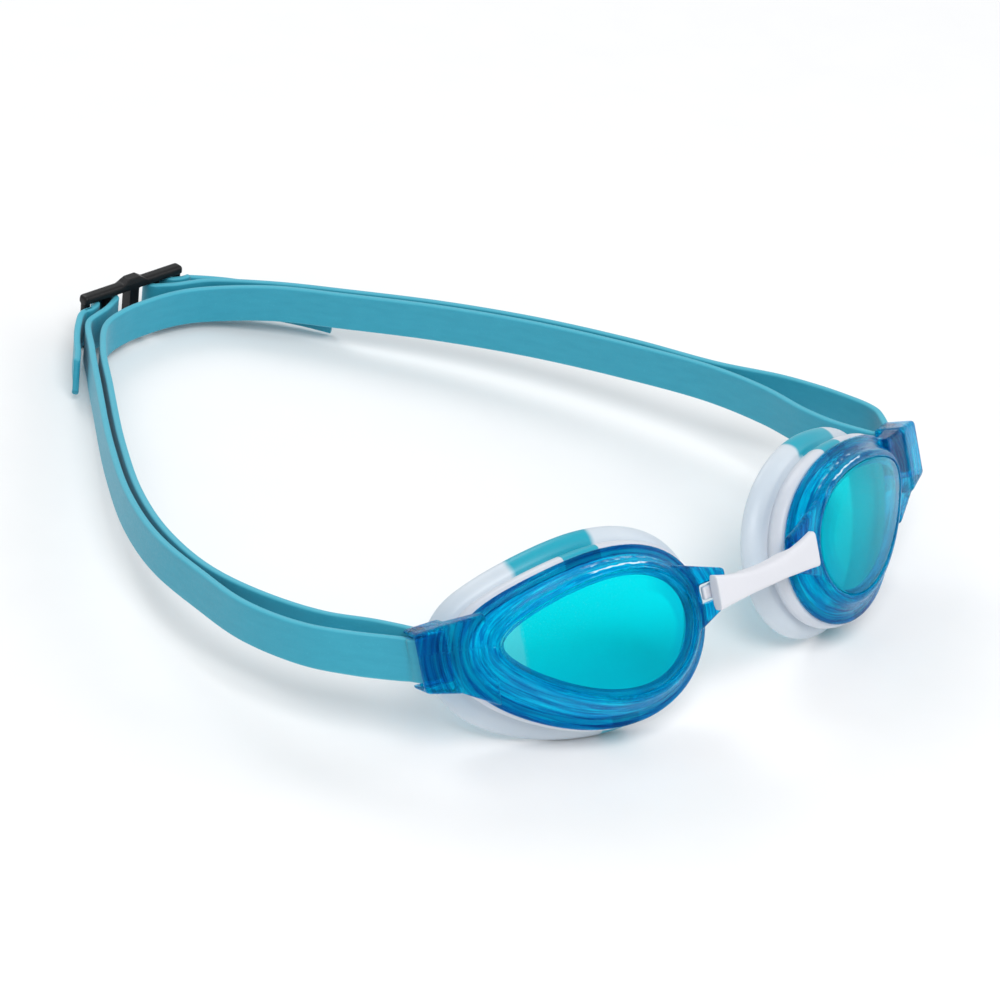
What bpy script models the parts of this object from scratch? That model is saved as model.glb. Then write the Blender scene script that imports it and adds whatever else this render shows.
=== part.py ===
"""Swim goggles: two clear tinted eyepieces with soft gaskets, a nose bridge, a doubled strap and a rear buckle.

World frame in metres, +Z up. The goggles face -Y and the strap runs back along +Y.
All driving dimensions below are in millimetres.
"""

import bmesh
import bpy
import numpy as np
from mathutils import Matrix, Vector

MM = 0.001
GAP = 0.3

# window outline, in the plane of one eyepiece (u outward, v up)
WINDOW_HALF_LENGTH = 21.5
WINDOW_HALF_HEIGHT = 12.0
WINDOW_TAPER = 0.35
WINDOW_CENTRE = (-3.1, -2.8)
WINDOW_TILT_DEG = 10.0
OUTLINE_POINTS = 48

# flange outline, measured outward from the window outline
FLANGE_MEAN = 5.6
FLANGE_LOWER = 0.8
FLANGE_TEMPLE = 2.0
FLANGE_TIP = 1.0
FLANGE_NOSE = -0.4
FRAME_DEPTH = 5.4
CUP_DROP = 0.06
SEAT_DEPTH = 1.9

# gasket
GASKET_DEPTH = 9.6
GASKET_NOSE_SHARE = 0.88
LIP_BELOW_TEMPLE = 2.4
LIP_ABOVE = 0.8

# eyepiece placing
EYE_X = 43.1
EYE_Z = 29.5
WRAP_DEG = 19.0
PITCH_DEG = 24.0
CURVE = 0.0045
CURVE_STRAIGHT_FROM = 15.0

# wing and post
WING_TIP_U = 35.3
WING_ROOT_U = 19.8
WING_V = 1.2
WING_FRONT_D = -0.7
WING_BACK_D = 7.2
WING_BLOCK_U = 27.4
WING_SLOT_U = 28.7
WING_HALF_HEIGHT = 6.1
POCKET_HALF_HEIGHT = 5.4
COVER_BACK_D = 0.8
POST_U = 32.6
POST_D = 5.0
POST_R = 1.4

# nose bracket and bridge
BRACKET_V = -2.1
BRACKET_END_U = -33.5
BRACKET_FRONT_D = -0.3
BRACKET_THICKNESS = 1.7
BRIDGE_HALF = 15.0
BRIDGE_END_HEIGHT = 7.6
BRIDGE_MID_HEIGHT = 4.6
BRIDGE_TAB_THICKNESS = 2.5
BRIDGE_MID_THICKNESS = 4.2
BRIDGE_FRONT_Y = -9.0

# strap
STRAP_WIDTH = 9.0
STRAP_THICKNESS = 1.5
STRAP_LOOP_R = POST_R + GAP + STRAP_THICKNESS / 2
LOOP_END_Y = 11.5
RUN_START_Y = 13.7

# buckle
BUCKLE_X = -4.3
BUCKLE_BEHIND_POSTS = 167.0
STRAND_SPACING = 2.5
BUCKLE_HALF_HEIGHT = 6.7
BUCKLE_BAR = 2.1
BUCKLE_END_SLOT = 4.3
BUCKLE_MID_SLOT = 5.0
BUCKLE_CENTRE = 2.6
BUCKLE_RAIL = 1.85
BUCKLE_THICKNESS = 3.0
BUCKLE_END_R = 1.1
BUCKLE_SPLIT_TOP = -0.4
BUCKLE_SPLIT = 1.8


# ---------------------------------------------------------------- outlines

def window_outline():
    """Closed teardrop outline, pointed end outward."""
    angle = np.linspace(0, 2 * np.pi, OUTLINE_POINTS, endpoint=False)
    along = WINDOW_CENTRE[0] + WINDOW_HALF_LENGTH * np.cos(angle)
    taper = 1 - WINDOW_TAPER * np.cos(angle)
    across = WINDOW_CENTRE[1] + WINDOW_HALF_HEIGHT * np.sin(angle) * taper
    tilt = np.radians(WINDOW_TILT_DEG)
    u = along * np.cos(tilt) - across * np.sin(tilt)
    v = along * np.sin(tilt) + across * np.cos(tilt)
    return np.stack([u, v], axis=1), angle


def outline_normals(points):
    step = np.roll(points, -1, axis=0) - np.roll(points, 1, axis=0)
    step /= np.linalg.norm(step, axis=1)[:, None]
    return np.stack([step[:, 1], -step[:, 0]], axis=1)


def flange_offset(angle):
    tip = FLANGE_TIP * np.clip(np.cos(angle), 0, None) ** 3
    nose = FLANGE_NOSE * np.clip(-np.cos(angle), 0, None)
    temple = FLANGE_TEMPLE * np.clip(np.cos(angle + 0.9), 0, None) ** 2
    return FLANGE_MEAN - FLANGE_LOWER * np.sin(angle) + tip + nose + temple


def ring(share, extra, depth):
    """One outline at a share of the flange offset plus a fixed offset, at a depth behind the front."""
    points, angle = window_outline()
    offset = share * flange_offset(angle) + extra
    flat = points + outline_normals(points) * offset[:, None]
    depths = np.broadcast_to(depth, len(flat))
    flat[:, 1] -= CUP_DROP * np.clip(depths, 0, None)
    return np.column_stack([flat, depths])


# ---------------------------------------------------------------- mesh helpers

def new_object(name, verts, faces, collection):
    mesh = bpy.data.meshes.new(name)
    mesh.from_pydata([tuple(float(c) for c in v) for v in verts], [], faces)
    bm = bmesh.new()
    bm.from_mesh(mesh)
    bmesh.ops.recalc_face_normals(bm, faces=bm.faces)
    bm.to_mesh(mesh)
    bm.free()
    mesh.update()
    obj = bpy.data.objects.new(name, mesh)
    collection.objects.link(obj)
    return obj


def skin(rings, closed_loop):
    """Quads between successive rings; the last joins the first when closed_loop, else both ends are capped."""
    count = len(rings[0])
    verts = np.concatenate(rings)
    faces = []
    pairs = len(rings) if closed_loop else len(rings) - 1
    for i in range(pairs):
        a = i * count
        b = ((i + 1) % len(rings)) * count
        for j in range(count):
            k = (j + 1) % count
            faces.append((a + j, a + k, b + k, b + j))
    if not closed_loop:
        faces.append(tuple(range(count)))
        faces.append(tuple((len(rings) - 1) * count + j for j in range(count)))
    return verts, faces


def block(corners_low, corners_high):
    """A six-sided solid from two matching four-point ends."""
    verts = np.array(list(corners_low) + list(corners_high), float)
    faces = [(0, 1, 2, 3), (4, 5, 6, 7)]
    faces += [(j, (j + 1) % 4, 4 + (j + 1) % 4, 4 + j) for j in range(4)]
    return verts, faces


def box(low, high):
    (x0, y0, z0), (x1, y1, z1) = low, high
    first = [(x0, y0, z0), (x1, y0, z0), (x1, y1, z0), (x0, y1, z0)]
    second = [(x, y, z1) for x, y, _ in first]
    return block(first, second)


def cylinder_v(u, d, radius, v0, v1, sides=20):
    angle = np.linspace(0, 2 * np.pi, sides, endpoint=False)
    rings = []
    for v in (v0, v1):
        circle = [(u + radius * np.cos(a), v, d + radius * np.sin(a)) for a in angle]
        rings.append(np.array(circle))
    return skin(rings, False)


def cylinder_z(x, radius, z0, z1, sides=16):
    angle = np.linspace(0, 2 * np.pi, sides, endpoint=False)
    rings = []
    for z in (z0, z1):
        rings.append(np.array([(x + radius * np.cos(a), radius * np.sin(a), z) for a in angle]))
    return skin(rings, False)


def modifier(obj, kind, **settings):
    made = obj.modifiers.new(kind.title(), kind)
    for key, value in settings.items():
        setattr(made, key, value)
    return made


def combine(obj, other, operation):
    modifier(obj, "BOOLEAN", object=other, operation=operation, solver="EXACT")


def baked(obj):
    """Replace the object's mesh by its evaluated mesh, with no modifiers left."""
    bpy.context.view_layer.update()
    graph = bpy.context.evaluated_depsgraph_get()
    mesh = bpy.data.meshes.new_from_object(obj.evaluated_get(graph))
    obj.modifiers.clear()
    obj.data = mesh
    return obj


def reshape(obj, function, flips=False):
    mesh = obj.data
    coords = np.empty(len(mesh.vertices) * 3)
    mesh.vertices.foreach_get("co", coords)
    moved = function(coords.reshape(-1, 3))
    mesh.vertices.foreach_set("co", np.ascontiguousarray(moved).ravel())
    if flips:
        mesh.flip_normals()
    mesh.update()


def mirrored(obj, name, collection):
    mesh = obj.data.copy()
    mesh.transform(Matrix.Scale(-1, 4, Vector((1, 0, 0))))
    mesh.flip_normals()
    mesh.name = name
    twin = bpy.data.objects.new(name, mesh)
    collection.objects.link(twin)
    return twin


def smooth_angle(obj, degrees=35):
    for polygon in obj.data.polygons:
        polygon.use_smooth = True
    bm = bmesh.new()
    bm.from_mesh(obj.data)
    for edge in bm.edges:
        if len(edge.link_faces) == 2 and edge.calc_face_angle(0) > np.radians(degrees):
            edge.smooth = False
    bm.to_mesh(obj.data)
    bm.free()


# ---------------------------------------------------------------- placing

def bend(u):
    """How far the curved front sweeps back at u."""
    edge = CURVE_STRAIGHT_FROM
    straight = CURVE * edge ** 2 + 2 * CURVE * edge * (u - edge)
    return np.where(u > edge, straight, CURVE * u ** 2)


def pitch(points):
    """Lean the eyepieces back about the X axis."""
    angle = np.radians(PITCH_DEG)
    x, y, z = points.T
    return np.column_stack([
        x,
        y * np.cos(angle) + z * np.sin(angle),
        EYE_Z + z * np.cos(angle) - y * np.sin(angle),
    ])


def place(local):
    """From the right eyepiece's (u, v, d) in metres to the world before the final shift."""
    u, v, d = np.asarray(local, float).T / MM
    wrap = np.radians(WRAP_DEG)
    back = d + bend(u)
    x = EYE_X + u * np.cos(wrap) - back * np.sin(wrap)
    y = u * np.sin(wrap) + back * np.cos(wrap)
    return pitch(np.column_stack([x, y, v])) * MM


def place_mm(u, v, d):
    return place(np.array([[u, v, d]]) * MM)[0] / MM


# ---------------------------------------------------------------- eyepiece pieces

def frame_rings():
    outer = [(0, 0.15, 0), (0, 1.0, 0), (0, 1.6, 0.45), (0.3, 0.7, 2.0), (0.6, 0.2, 3.5)]
    flange = [(0.72, 0, 3.9), (1, -0.4, 4.1), (1, 0, 4.6), (1, -0.3, FRAME_DEPTH)]
    inner = [(0.48, 0, FRAME_DEPTH), (0.38, 0, 4.8), (0, 0.75, SEAT_DEPTH + 1.0)]
    seat = [(0, -1.3, SEAT_DEPTH + 0.9), (0, -1.3, SEAT_DEPTH), (0, 0.15, SEAT_DEPTH)]
    return [ring(*spec) for spec in outer + flange + inner + seat]


def core_rings():
    """A space that ends half way through the cup's wall, to trim what is joined to the wall."""
    front = [(0, 1.25, -6), (0, 1.25, 1.9), (0.12, 1.1, 2.9)]
    return [ring(*spec) for spec in front + [(0.62, 0, 4.7), (0.7, 0, 12)]]


def wing_end(u, low, high, back, front):
    return [(u, WING_V + low, back), (u, WING_V + high, back), (u, WING_V + high, front), (u, WING_V + low, front)]


def wing_web():
    """Tapered plate from the cup's outer side towards the wing's tip."""
    back = FRAME_DEPTH - 0.45
    root = wing_end(WING_ROOT_U, -13.2, 6.1, back, WING_FRONT_D + 2.6)
    low = -WING_HALF_HEIGHT - 1.85
    far = wing_end(WING_BLOCK_U + 0.7, low, WING_HALF_HEIGHT + 0.1, back, WING_FRONT_D + 1.15)
    return block(root, far)


def wing_block():
    """Deeper end of the wing that holds the strap post."""
    h = WING_HALF_HEIGHT
    root = wing_end(WING_BLOCK_U, -h - 2.2, h + 0.3, WING_BACK_D, WING_FRONT_D + 0.9)
    tip = wing_end(WING_TIP_U, -h, h, WING_BACK_D - 0.4, WING_FRONT_D)
    return block(root, tip)


def bracket_block():
    front = BRACKET_FRONT_D
    back = BRACKET_FRONT_D + BRACKET_THICKNESS
    root = [
        (-21.0, BRACKET_V - 9.0, back + 0.6),
        (-21.0, BRACKET_V + 8.0, back + 0.6),
        (-21.0, BRACKET_V + 8.0, front + 0.6),
        (-21.0, BRACKET_V - 9.0, front + 0.6),
    ]
    tip = [
        (BRACKET_END_U, BRACKET_V - 3.6, back),
        (BRACKET_END_U, BRACKET_V + 3.6, back),
        (BRACKET_END_U, BRACKET_V + 3.6, front),
        (BRACKET_END_U, BRACKET_V - 3.6, front),
    ]
    return block(root, tip)


def as_tool(name, shape, tools):
    verts, faces = shape
    obj = new_object(name, np.asarray(verts) * MM, faces, tools)
    obj.display_type = "WIRE"
    return obj


def build_frame(parts, tools):
    verts, faces = skin(frame_rings(), True)
    frame = new_object("right_frame", verts * MM, faces, parts)
    core = as_tool("cup_core", skin(core_rings(), False), tools)
    web = as_tool("wing_web", wing_web(), tools)
    combine(web, core, "DIFFERENCE")
    combine(frame, web, "UNION")
    wing = as_tool("wing_block", wing_block(), tools)
    modifier(wing, "BEVEL", width=0.6 * MM, segments=2, limit_method="ANGLE")
    combine(frame, wing, "UNION")
    half = POCKET_HALF_HEIGHT
    pocket = box((WING_SLOT_U, WING_V - half, COVER_BACK_D), (42, WING_V + half, 14))
    combine(frame, as_tool("wing_pocket", pocket, tools), "DIFFERENCE")
    post = cylinder_v(POST_U, POST_D, POST_R, WING_V - half - 0.5, WING_V + half + 0.5)
    combine(frame, as_tool("post", post, tools), "UNION")
    bracket = as_tool("bracket", bracket_block(), tools)
    modifier(bracket, "BEVEL", width=0.5 * MM, segments=2, limit_method="ANGLE")
    combine(bracket, core, "DIFFERENCE")
    combine(frame, bracket, "UNION")
    hole = box((-32.2, BRACKET_V - 2.1, -4), (-26.6, BRACKET_V + 2.1, 4))
    combine(frame, as_tool("bracket_hole", hole, tools), "DIFFERENCE")
    baked(frame)
    return frame


def lens_side(depth_edge, depth_centre, shares):
    base = ring(0, -0.45, 0)
    centre = base[:, :2].mean(axis=0)
    rings = []
    for share in shares:
        flat = centre + (base[:, :2] - centre) * share
        depth = depth_centre + (depth_edge - depth_centre) * share ** 2
        rings.append(np.column_stack([flat, np.full(len(flat), depth)]))
    return rings


def build_lens(parts):
    front = lens_side(0.1, -0.35, (0.15, 0.4, 0.65, 0.85, 1.0))
    back = lens_side(SEAT_DEPTH - GAP, SEAT_DEPTH - GAP - 0.3, (1.0, 0.85, 0.65, 0.4, 0.15))
    edge = [ring(0, -0.2, 0.35), ring(0, -0.2, SEAT_DEPTH - GAP - 0.15)]
    verts, faces = skin(front + edge + back, False)
    return new_object("right_lens", verts * MM, faces, parts)


def gasket_ring(extra, depth):
    points, angle = window_outline()
    share = 1 - (1 - GASKET_NOSE_SHARE) * np.clip(-np.cos(angle), 0, None) ** 1.5
    start = FRAME_DEPTH + GAP
    temple = LIP_BELOW_TEMPLE * np.clip(np.cos(angle + 0.75), 0, None) ** 3
    above = LIP_ABOVE * np.clip(np.sin(angle), 0, None)
    flare = np.clip((depth - 3.0) / 4.0, 0, 1) * (temple + above)
    return ring(1, extra + flare, start + depth * share)


def build_gasket(parts):
    band = [(-2.6, 0), (-0.5, 0), (0.1, 0.6), (0.4, 2.0), (0.0, 3.6), (-0.9, 4.3)]
    lip = [(-0.9, 4.9), (0.5, 5.5), (1.6, 6.7), (2.1, 8.1), (1.8, 9.1), (0.7, GASKET_DEPTH)]
    inside = [(-0.2, 9.0), (-1.9, 7.2), (-2.6, 5.3), (-2.8, 3.6), (-2.5, 2.1), (-2.9, 0.8)]
    rings = [gasket_ring(extra, depth) for extra, depth in band + lip + inside]
    verts, faces = skin(rings, True)
    return new_object("right_gasket", verts * MM, faces, parts)


# ---------------------------------------------------------------- nose bridge

def bridge_section(x):
    """Rounded section of the bridge at x, in the plane of the eyepieces before the lean."""
    share = min(abs(x) / BRIDGE_HALF, 1.0)
    flare = share ** 2.2
    height = BRIDGE_MID_HEIGHT + (BRIDGE_END_HEIGHT - BRIDGE_MID_HEIGHT) * flare
    tab = np.clip((abs(x) - 5.0) / 4.0, 0, 1)
    thick = BRIDGE_MID_THICKNESS + (BRIDGE_TAB_THICKNESS - BRIDGE_MID_THICKNESS) * tab
    front = BRIDGE_FRONT_Y - 0.4 * (1 - share)
    angle = np.linspace(0, 2 * np.pi, 20, endpoint=False) + np.pi / 20
    power = 0.45
    cy = np.sign(np.cos(angle)) * np.abs(np.cos(angle)) ** power * thick / 2
    cz = np.sign(np.sin(angle)) * np.abs(np.sin(angle)) ** power * height / 2
    y = front + thick / 2 + cy
    z = BRACKET_V - 0.9 * (1 - share ** 2) + cz
    return np.column_stack([np.full(20, x), y, z])


def build_bridge(parts, tools):
    stations = np.linspace(-BRIDGE_HALF, BRIDGE_HALF, 25)
    verts, faces = skin([bridge_section(x) for x in stations], False)
    bridge = new_object("nose_bridge", verts * MM, faces, parts)
    for side in (-1, 1):
        near, mid, far = sorted((side * 11.95, side * 13.95, side * 16.05))
        peg_low, peg_high = (near, mid) if side > 0 else (mid, far)
        peg = box((peg_low, -7.6, BRACKET_V - 1.6), (peg_high, -4.6, BRACKET_V + 1.6))
        combine(bridge, as_tool("peg", peg, tools), "UNION")
        toe = box((near, -5.7, BRACKET_V - 1.4), (far, -4.6, BRACKET_V + 1.4))
        combine(bridge, as_tool("peg_toe", toe, tools), "UNION")
    baked(bridge)
    reshape(bridge, lambda p: pitch(p / MM) * MM)
    return bridge


# ---------------------------------------------------------------- strap

def post_world(side):
    point = place_mm(POST_U, WING_V, POST_D)
    return np.array([side * point[0], point[1], point[2]])


def spline(points, spacing=2.5):
    """Centripetal curve through the points, resampled at even steps."""
    pts = np.asarray(points, float)
    ends = np.vstack([2 * pts[0] - pts[1], pts, 2 * pts[-1] - pts[-2]])
    out = []
    for i in range(1, len(ends) - 2):
        p0, p1, p2, p3 = ends[i - 1:i + 3]
        t0 = 0.0
        t1 = t0 + np.linalg.norm(p1 - p0) ** 0.5
        t2 = t1 + np.linalg.norm(p2 - p1) ** 0.5
        t3 = t2 + np.linalg.norm(p3 - p2) ** 0.5
        t = np.linspace(t1, t2, 12, endpoint=False)[:, None]
        a1 = (t1 - t) / (t1 - t0) * p0 + (t - t0) / (t1 - t0) * p1
        a2 = (t2 - t) / (t2 - t1) * p1 + (t - t1) / (t2 - t1) * p2
        a3 = (t3 - t) / (t3 - t2) * p2 + (t - t2) / (t3 - t2) * p3
        b1 = (t2 - t) / (t2 - t0) * a1 + (t - t0) / (t2 - t0) * a2
        b2 = (t3 - t) / (t3 - t1) * a2 + (t - t1) / (t3 - t1) * a3
        out.append((t2 - t) / (t2 - t1) * b1 + (t - t1) / (t2 - t1) * b2)
    dense = np.vstack(out + [pts[-1:]])
    length = np.concatenate([[0], np.cumsum(np.linalg.norm(np.diff(dense, axis=0), axis=1))])
    count = max(int(length[-1] / spacing), 4) + 1
    at = np.linspace(0, length[-1], count)
    return np.column_stack([np.interp(at, length, dense[:, k]) for k in range(3)])


def thinned(path, tolerance=0.05, longest=9.0):
    """Leave out points that lie within the tolerance of the line between their neighbours."""
    keep = [0]
    last = len(path) - 1
    while keep[-1] < last:
        start = keep[-1]
        end = start + 1
        while end < last:
            chord = path[end + 1] - path[start]
            length = np.linalg.norm(chord)
            between = path[start + 1:end + 1] - path[start]
            off = np.linalg.norm(np.cross(between, chord / length), axis=1).max()
            if off > tolerance or length > longest:
                break
            end += 1
        keep.append(end)
    return path[keep]


def lean(points):
    """Direction of the strap's width: along the post at the wings, upright further back."""
    y_post = post_world(1)[1]
    share = np.clip((points[:, 1] - y_post - 4) / 50, 0, 1)
    share = share * share * (3 - 2 * share)
    angle = np.radians(PITCH_DEG) * (1 - share)
    return np.column_stack([np.zeros(len(points)), np.sin(angle), np.cos(angle)])


def band_section():
    """Rounded rectangle: across the thickness, along the width."""
    half_t = STRAP_THICKNESS / 2
    half_w = STRAP_WIDTH / 2
    r = 0.55
    corners = [(half_t - r, half_w - r, 0), (-half_t + r, half_w - r, 90),
               (-half_t + r, -half_w + r, 180), (half_t - r, -half_w + r, 270)]
    out = []
    for t, w, start in corners:
        for turn in (15, 75):
            a = np.radians(start + turn)
            out.append((t + r * np.cos(a), w + r * np.sin(a)))
    return np.array(out)


def band(name, path, parts):
    """Sweep the strap's section along a path of world points in millimetres."""
    path = thinned(path)
    tangent = np.gradient(path, axis=0)
    tangent /= np.linalg.norm(tangent, axis=1)[:, None]
    width = lean(path)
    width -= tangent * (width * tangent).sum(axis=1)[:, None]
    width /= np.linalg.norm(width, axis=1)[:, None]
    across = np.cross(tangent, width)
    section = band_section()
    rings = []
    for centre, w, a in zip(path, width, across):
        rings.append(centre + section[:, :1] * a + section[:, 1:] * w)
    verts, faces = skin(rings, False)
    return new_object(name, verts * MM, faces, parts)


def height_at(y):
    """Height of the strap's middle line, falling evenly from the wings to the buckle."""
    top = post_world(1)
    share = (y - top[1]) / BUCKLE_BEHIND_POSTS
    return top[2] + (BUCKLE_HALF_HEIGHT - top[2]) * share


def on_slope(points):
    """Plan points measured from the posts, set on the strap's falling line."""
    y_post = post_world(1)[1]
    return [np.array([x, y + y_post, height_at(y + y_post)]) for x, y in points]


def loop_path(side, outer, inner):
    """Round the post from the outer strand to the inner strand."""
    turn = []
    for degrees in (-10, 25, 60, 95, 130, 165, 200):
        a = np.radians(degrees)
        u = POST_U + STRAP_LOOP_R * np.cos(a)
        d = POST_D - STRAP_LOOP_R * np.sin(a)
        point = place_mm(u, WING_V, d)
        turn.append(np.array([side * point[0], point[1], point[2]]))
    return on_slope(outer) + turn + on_slope(inner)


def cut(path, low_y=None, high_y=None):
    y = path[:, 1] - post_world(1)[1]
    keep = np.ones(len(path), bool)
    if low_y is not None:
        keep &= y >= low_y
    if high_y is not None:
        keep &= y <= high_y
    return path[keep]


# plan of the strands, measured from the posts; the outer strand keeps its spacing further back
LEFT_OUTER = [(-87.6, 34.0), (-85.3, 19.5), (-80.4, 10.0)]
LEFT_INNER = [(-73.4, 10.5), (-78.8, 20.0), (-82.3, 34.0), (-83.0, 50.0), (-79.3, 67.0),
              (-71.8, 84.5), (-58.7, 106.0), (-41.5, 130.5), (-30.0, 146.5)]
RIGHT_OUTER = [(75.2, 35.0), (77.9, 20.0), (77.7, 10.0)]
RIGHT_INNER = [(65.9, 10.5), (65.6, 20.0), (67.4, 34.0), (66.7, 50.0), (61.4, 70.5),
               (53.6, 92.5), (43.5, 113.0), (31.5, 132.0), (21.5, 146.5)]


def outer_points(side, outer, inner):
    """Outer strand from the buckle to the wing: beside the inner strand, then the given points."""
    pts = np.array(inner)
    step = np.gradient(pts, axis=0)
    step /= np.linalg.norm(step, axis=1)[:, None]
    out = np.column_stack([step[:, 1], -step[:, 0]]) * side
    beside = pts + out * STRAND_SPACING
    return [tuple(p) for p in beside[:2:-1]] + outer


def buckle_points(side, points):
    """Points given from the buckle's middle, outward along its length and back through its thickness."""
    middle = post_world(1)[1] + BUCKLE_BEHIND_POSTS
    return [np.array([BUCKLE_X + side * x, middle + y, BUCKLE_HALF_HEIGHT]) for x, y in points]


def bar_centre():
    return BUCKLE_CENTRE / 2 + BUCKLE_MID_SLOT + BUCKLE_BAR / 2


def half_length():
    return BUCKLE_CENTRE / 2 + BUCKLE_MID_SLOT + 2 * BUCKLE_BAR + BUCKLE_END_SLOT


def weave(side):
    """Under the end bar and middle bar, up round the middle bar and back out under the end bar."""
    bar = bar_centre()
    r = BUCKLE_BAR / 2 + GAP + STRAP_THICKNESS / 2 + 0.1
    end = half_length()
    approach = [(end + 3.2, -6.6), (end - 0.6, -5.1), (end - 4.2, -4.0)]
    wrap = [(bar - r * np.cos(np.radians(a)), r * np.sin(np.radians(a))) for a in (-80, -45, 0, 45, 85)]
    out = [(bar + 2.4, 1.7), (end - 3.5, -1.2), (end - 1.0, -2.3), (end + 0.9, -2.35)]
    return buckle_points(side, approach + wrap + out)


def build_strap(parts):
    runs = {"left": (-1, LEFT_OUTER, LEFT_INNER), "right": (1, RIGHT_OUTER, RIGHT_INNER)}
    for name, (side, near_wing, inner) in runs.items():
        outer = outer_points(side, near_wing, inner)
        whole = spline(loop_path(side, outer[-4:], inner[:4]), 1.2)
        band("strap_loop_" + name, cut(whole, high_y=LOOP_END_Y), parts)
        woven = weave(side)
        strand = spline(woven[::-1] + on_slope(outer), 1.0)
        band("strap_outer_" + name, cut(strand, low_y=RUN_START_Y), parts)
    middle = buckle_points(1, [(-half_length(), -9.4), (-8.0, -7.2), (0, -6.6), (8.0, -7.2), (half_length(), -9.4)])
    inner = on_slope(LEFT_INNER) + middle + on_slope(RIGHT_INNER[::-1])
    inner_path = spline(inner, 3.0)
    band("strap_inner", cut(inner_path, low_y=RUN_START_Y), parts)
    end = half_length()
    left_tail = buckle_points(-1, [(end + 1.7, -2.5), (end + 6.2, -6.3), (end + 10.8, -11.4),
                                   (end + 15.0, -16.8), (end + 17.5, -19.5)])
    right_tail = buckle_points(1, [(end + 1.7, -2.5), (end + 7.5, -6.8), (end + 14.0, -14.0),
                                   (end + 19.5, -21.5), (end + 23.5, -28.5)])
    droop = np.linspace(0, 1, len(right_tail)) ** 0.7 * 1.5
    right_tail = [p - np.array([0, 0, fall]) for p, fall in zip(right_tail, droop)]
    band("strap_tail_left", spline(left_tail, 2.0), parts)
    band("strap_tail_right", spline(right_tail, 2.0), parts)


# ---------------------------------------------------------------- buckle

def build_buckle(parts, tools):
    end = half_length()
    half_t = BUCKLE_THICKNESS / 2
    h = BUCKLE_HALF_HEIGHT
    body = new_object("buckle", np.array(box((-end, -half_t, -h), (end, half_t, h))[0]) * MM,
                      box((0, 0, 0), (1, 1, 1))[1], parts)
    modifier(body, "BEVEL", width=0.9 * MM, segments=3, limit_method="ANGLE")
    slot_h = h - BUCKLE_RAIL
    for side in (-1, 1):
        x0, x1 = sorted((side * BUCKLE_CENTRE / 2, side * (end + 1)))
        opening = as_tool("opening", box((x0, -4, -slot_h), (x1, 4, slot_h)), tools)
        combine(body, opening, "DIFFERENCE")
        reach = slot_h + 0.6
        bars = [(bar_centre(), BUCKLE_BAR / 2, -reach, reach)]
        bars += [(end - BUCKLE_END_R, BUCKLE_END_R, BUCKLE_SPLIT_TOP, reach)]
        bars += [(end - BUCKLE_END_R, BUCKLE_END_R, -reach, BUCKLE_SPLIT_TOP - BUCKLE_SPLIT)]
        for x, radius, low, high in bars:
            combine(body, as_tool("bar", cylinder_z(side * x, radius, low, high), tools), "UNION")
    crown = block([(-4.0, -half_t, h - 0.5), (4.0, -half_t, h - 0.5), (4.0, half_t, h - 0.5),
                   (-4.0, half_t, h - 0.5)],
                  [(-1.6, -half_t + 0.3, h + 1.0), (1.6, -half_t + 0.3, h + 1.0),
                   (1.6, half_t - 0.3, h + 1.0), (-1.6, half_t - 0.3, h + 1.0)])
    combine(body, as_tool("crown", crown, tools), "UNION")
    baked(body)
    middle = post_world(1)[1] + BUCKLE_BEHIND_POSTS
    body.data.transform(Matrix.Translation(Vector((BUCKLE_X, middle, h)) * MM))
    return body


# ---------------------------------------------------------------- colours

COLOURS = {
    "frame": (0.0, 0.20, 0.55, 0.35),
    "lens": (0.0, 0.62, 0.75, 0.3),
    "gasket": (0.82, 0.85, 0.88, 1.0),
    "nose_bridge": (0.85, 0.86, 0.88, 1.0),
    "strap": (0.04, 0.36, 0.45, 1.0),
    "buckle": (0.01, 0.01, 0.012, 1.0),
}


def colour(parts):
    slots = {}
    for name, rgba in COLOURS.items():
        material = bpy.data.materials.new(name)
        material.use_nodes = True
        shader = material.node_tree.nodes["Principled BSDF"]
        shader.inputs["Base Color"].default_value = rgba[:3] + (1.0,)
        shader.inputs["Roughness"].default_value = 0.1 if name in ("frame", "lens") else 0.5
        material.diffuse_color = rgba
        slots[name] = material
    for obj in parts.objects:
        kind = next(k for k in COLOURS if k in obj.name)
        obj.data.materials.clear()
        obj.data.materials.append(slots[kind])


def origin_of(name):
    """Where a piece's own origin sits, in millimetres before the final shift."""
    post = post_world(1)
    if name == "nose_bridge":
        return pitch(np.array([[0.0, BRIDGE_FRONT_Y, BRACKET_V]]))[0]
    if name.startswith("strap_tail"):
        side = 1 if name.endswith("right") else -1
        return buckle_points(side, [(half_length() + 1.7, -2.5)])[0]
    if name == "buckle" or name == "strap_inner" or name.startswith("strap_outer"):
        return np.array([0.0, post[1], post[2]])
    side = 1 if "right" in name else -1
    middle = post if name.startswith("strap_loop") else place_mm(0.0, 0.0, 0.0)
    return np.array([side * middle[0], middle[1], middle[2]])


def settle(parts):
    """Put the object's bottom centre at the world origin and each piece's origin on its joint axis."""
    low = np.full(3, np.inf)
    high = -low
    for obj in parts.objects:
        coords = np.array([v.co for v in obj.data.vertices])
        low = np.minimum(low, coords.min(axis=0))
        high = np.maximum(high, coords.max(axis=0))
    middle = (low + high) / 2
    shift = Vector((-middle[0], -middle[1], -low[2]))
    print("shift_mm", [round(float(c) / MM, 3) for c in shift])
    print("size_mm", np.round((high - low) / MM, 2))
    for obj in parts.objects:
        z = [v.co.z / MM for v in obj.data.vertices]
        own = Vector(origin_of(obj.name)) * MM
        obj.data.transform(Matrix.Translation(-own))
        obj.location = own + shift
        print(obj.name, "low", round(min(z), 2), "origin_mm", [round(c / MM, 3) for c in obj.location])


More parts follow.
